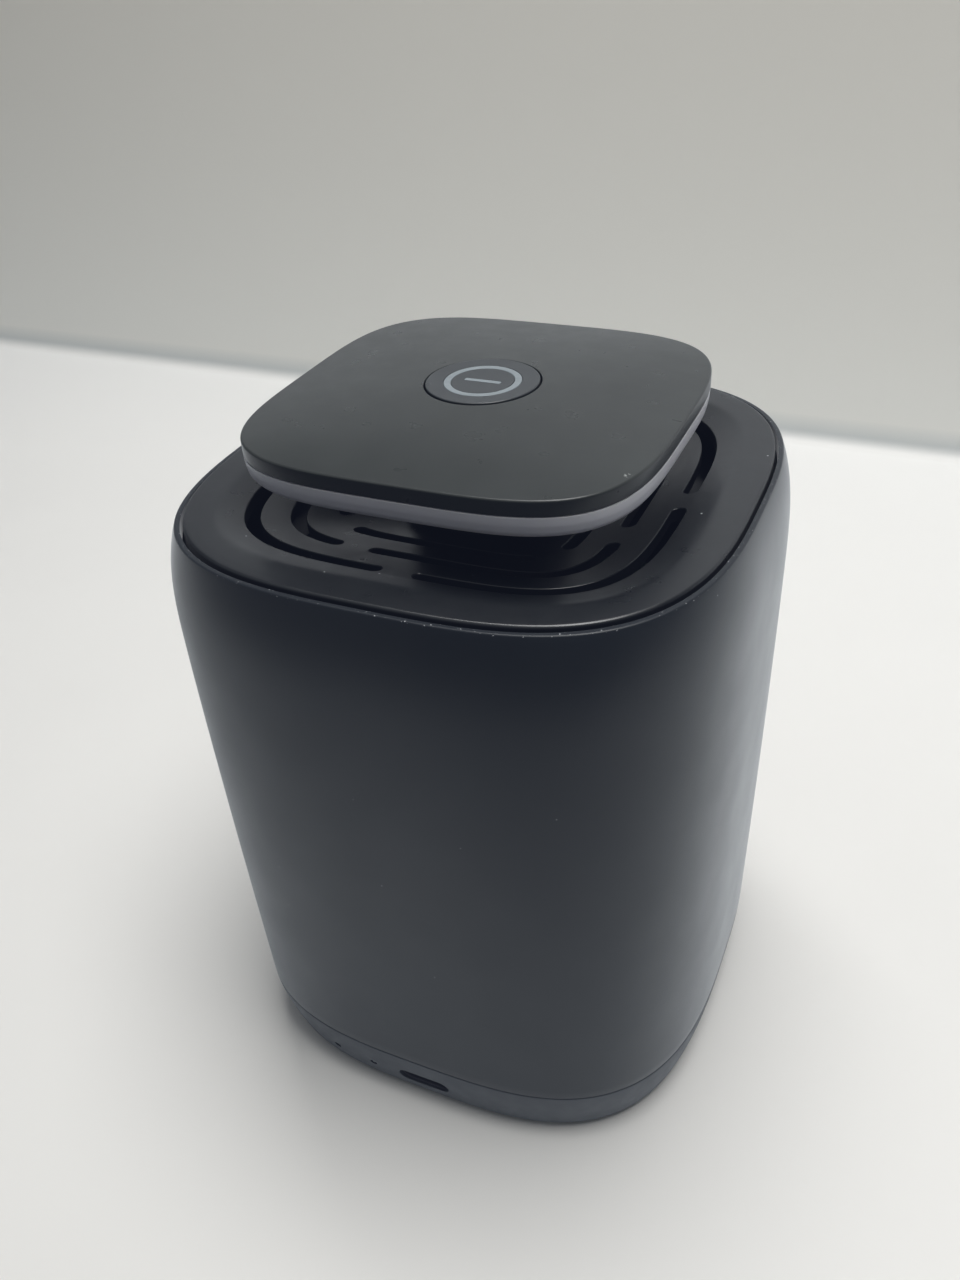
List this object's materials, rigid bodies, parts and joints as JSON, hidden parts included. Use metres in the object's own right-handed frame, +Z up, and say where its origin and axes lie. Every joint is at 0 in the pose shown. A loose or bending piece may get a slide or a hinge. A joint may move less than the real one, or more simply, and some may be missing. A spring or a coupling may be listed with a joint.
{
  "type": "mesh wifi node",
  "caption": "Squircle tower network node with a floating square cap, a light ring under it, a slotted sunken top grille, a press button and a USB-C inlet in the base.",
  "frame": {"origin": "middle of the plane that the rubber feet stand on", "axes": "+Z up through the cap; -Y towards the face with the USB-C inlet; +X to the right of that face"},
  "size_m": [0.0844, 0.0844, 0.1141],
  "materials": {
    "sleeve_metal": "anodised, satin",
    "base_plastic": "fine-textured",
    "charcoal_plastic": "fine-textured, matte",
    "black_plastic": "moulded",
    "foot_rubber": "matte",
    "screw_steel": "plated",
    "port_steel": "plated",
    "diffuser": "translucent, unlit",
    "symbol_white": "pale blue-grey light guide",
    "circuit_board": "solder mask",
    "nylon": "moulded",
    "shield_tin": "tinned",
    "sink_aluminium": "extruded",
    "antenna_brass": "stamped",
    "silicone_pad": "soft pad",
    "ribbon_film": "polyimide film",
    "clear_plastic": "clear",
    "led_lens": "clear resin"
  },
  "bodies": {
    "housing": {"outer_sleeve": "sleeve_metal", "base_ring": "base_plastic", "top_grille": "charcoal_plastic", "cap_shell": "charcoal_plastic", "bottom_plate": "black_plastic", "pedestal": "black_plastic", "cap_tray": "black_plastic", "power_switch_body": "black_plastic", "board_socket": "black_plastic", "usb_tongue": "black_plastic", "reset_switch_body": "black_plastic", "antenna_lead_front": "black_plastic", "antenna_lead_rear": "black_plastic", "foot_front_left": "foot_rubber", "foot_front_right": "foot_rubber", "foot_rear_right": "foot_rubber", "foot_rear_left": "foot_rubber", "base_screw_front_left": "screw_steel", "base_screw_front_right": "screw_steel", "base_screw_rear_right": "screw_steel", "base_screw_rear_left": "screw_steel", "tray_screw_1": "screw_steel", "tray_screw_2": "screw_steel", "pedestal_screw_1": "screw_steel", "pedestal_screw_2": "screw_steel", "board_screw_1": "screw_steel", "board_screw_2": "screw_steel", "top_screw_1": "screw_steel", "top_screw_2": "screw_steel", "heat_sink_screw_1": "screw_steel", "heat_sink_screw_2": "screw_steel", "usb_shell": "port_steel", "light_ring": "diffuser", "cap_board": "circuit_board", "main_board": "circuit_board", "port_board": "circuit_board", "chassis": "nylon", "processor_shield": "shield_tin", "radio_shield_1": "shield_tin", "radio_shield_2": "shield_tin", "heat_sink": "sink_aluminium", "antenna_front": "antenna_brass", "antenna_rear": "antenna_brass", "thermal_pad": "silicone_pad", "cap_ribbon": "ribbon_film", "light_pipe": "clear_plastic", "ring_led_1": "led_lens", "ring_led_2": "led_lens", "ring_led_3": "led_lens", "ring_led_4": "led_lens", "status_led": "led_lens"},
    "power_button": {"power_button": "charcoal_plastic", "power_symbol_ring": "symbol_white", "power_symbol_bar": "symbol_white"},
    "power_switch_plunger": {"power_switch_plunger": "nylon"},
    "reset_plunger": {"reset_plunger": "nylon"}
  },
  "joints": [
    {"name": "power_button_press", "type": "slide", "parent": "housing", "child": "power_button", "axis": [0, 0, -1], "range_m": [0, 0.0005], "stiffness_N_per_m": 3000, "springref_m": -0.0001},
    {"name": "power_switch_press", "type": "slide", "parent": "housing", "child": "power_switch_plunger", "axis": [0, 0, -1], "range_m": [0, 0.0005]},
    {"name": "reset_press", "type": "slide", "parent": "housing", "child": "reset_plunger", "axis": [0, 1, 0], "range_m": [0, 0.0003], "stiffness_N_per_m": 4000, "springref_m": -0.0001}
  ],
  "couplings": [
    {"joint": "power_switch_press", "follows": "power_button_press", "ratio": 1}
  ]
}
